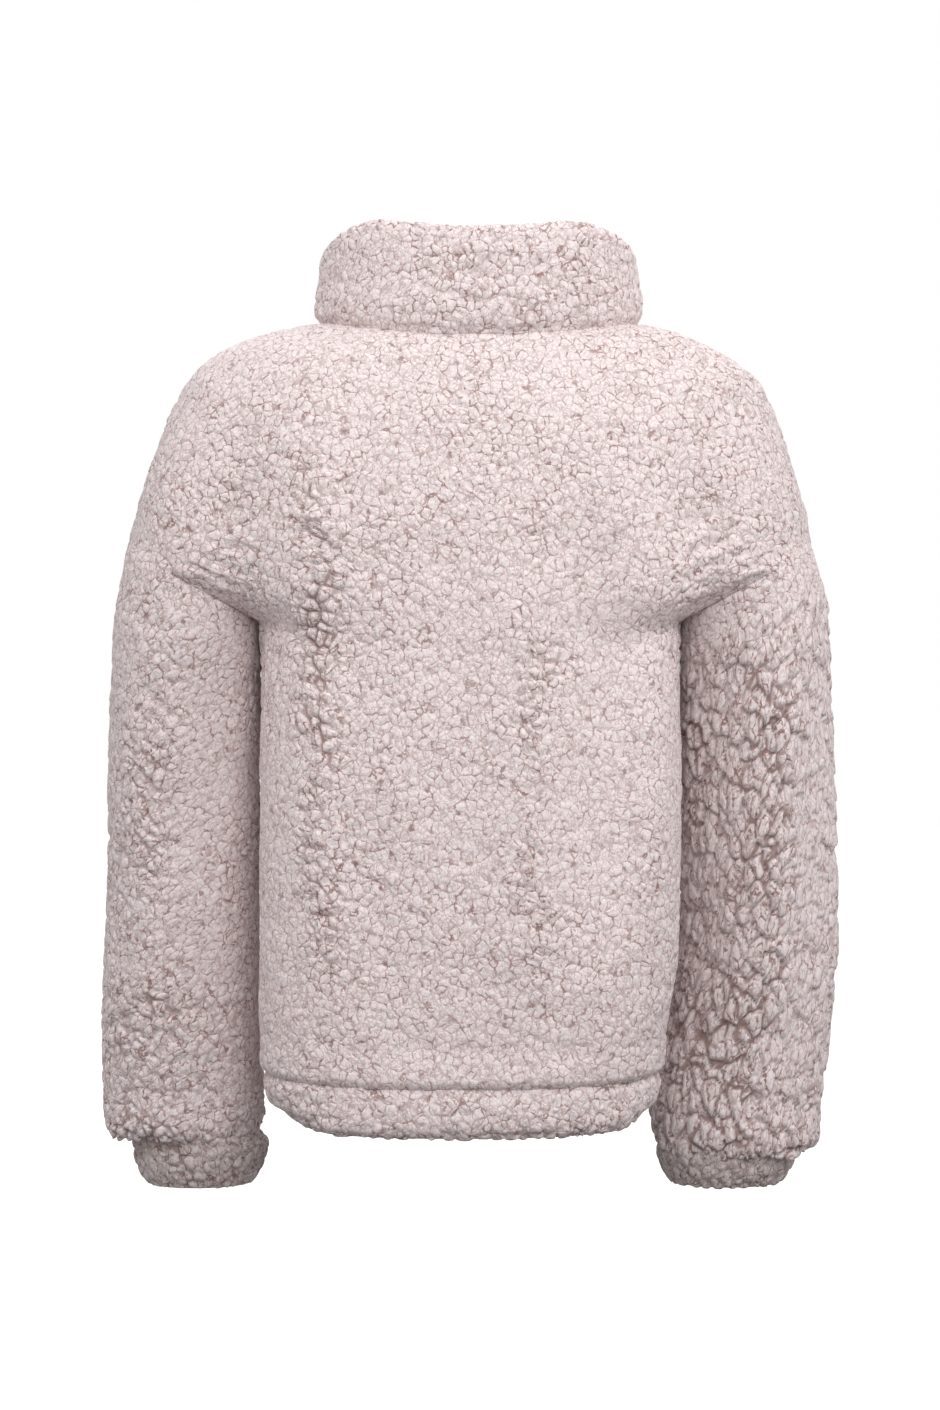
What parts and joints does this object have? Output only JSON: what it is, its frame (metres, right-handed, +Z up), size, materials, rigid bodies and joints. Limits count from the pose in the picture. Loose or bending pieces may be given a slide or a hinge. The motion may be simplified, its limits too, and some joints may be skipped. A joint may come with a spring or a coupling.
{
  "type": "fleece_zip_jacket",
  "caption": "Child's teddy-fleece jacket with stand collar, drop shoulders, turned hem and cuffs and a separating front zip, filled out as if worn, empty inside.",
  "frame": {"origin": "where the wearer holds the jacket up: the middle of the neck opening, level with the tops of the shoulders", "axes": "+Z up along the body, front with the zip towards -Y, wearer's left towards +X"},
  "size_m": [0.4613, 0.2171, 0.5966],
  "materials": {
    "fleece": "soft dusty-pink pile with deep clumps",
    "tape": "woven",
    "teeth": "moulded",
    "slider": "cast and polished"
  },
  "bodies": {
    "jacket": {"back": "fleece", "front_left": "fleece", "front_right": "fleece", "sleeve_left": "fleece", "sleeve_right": "fleece", "cuff_left": "fleece", "cuff_right": "fleece", "collar": "fleece", "hem_band": "fleece", "zip_tape_left": "tape", "zip_tape_right": "tape", "zip_chain": "teeth", "zip_box": "teeth", "zip_slider": "slider"},
    "pull_tab": {"zip_pull_tab": "slider"}
  },
  "joints": [
    {"name": "pull_tab_swing", "type": "hinge", "parent": "jacket", "child": "pull_tab", "pos_m": [0, -0.08281, -0.00382], "axis": [-1, 0, 0], "range_deg": [0, 150]}
  ]
}
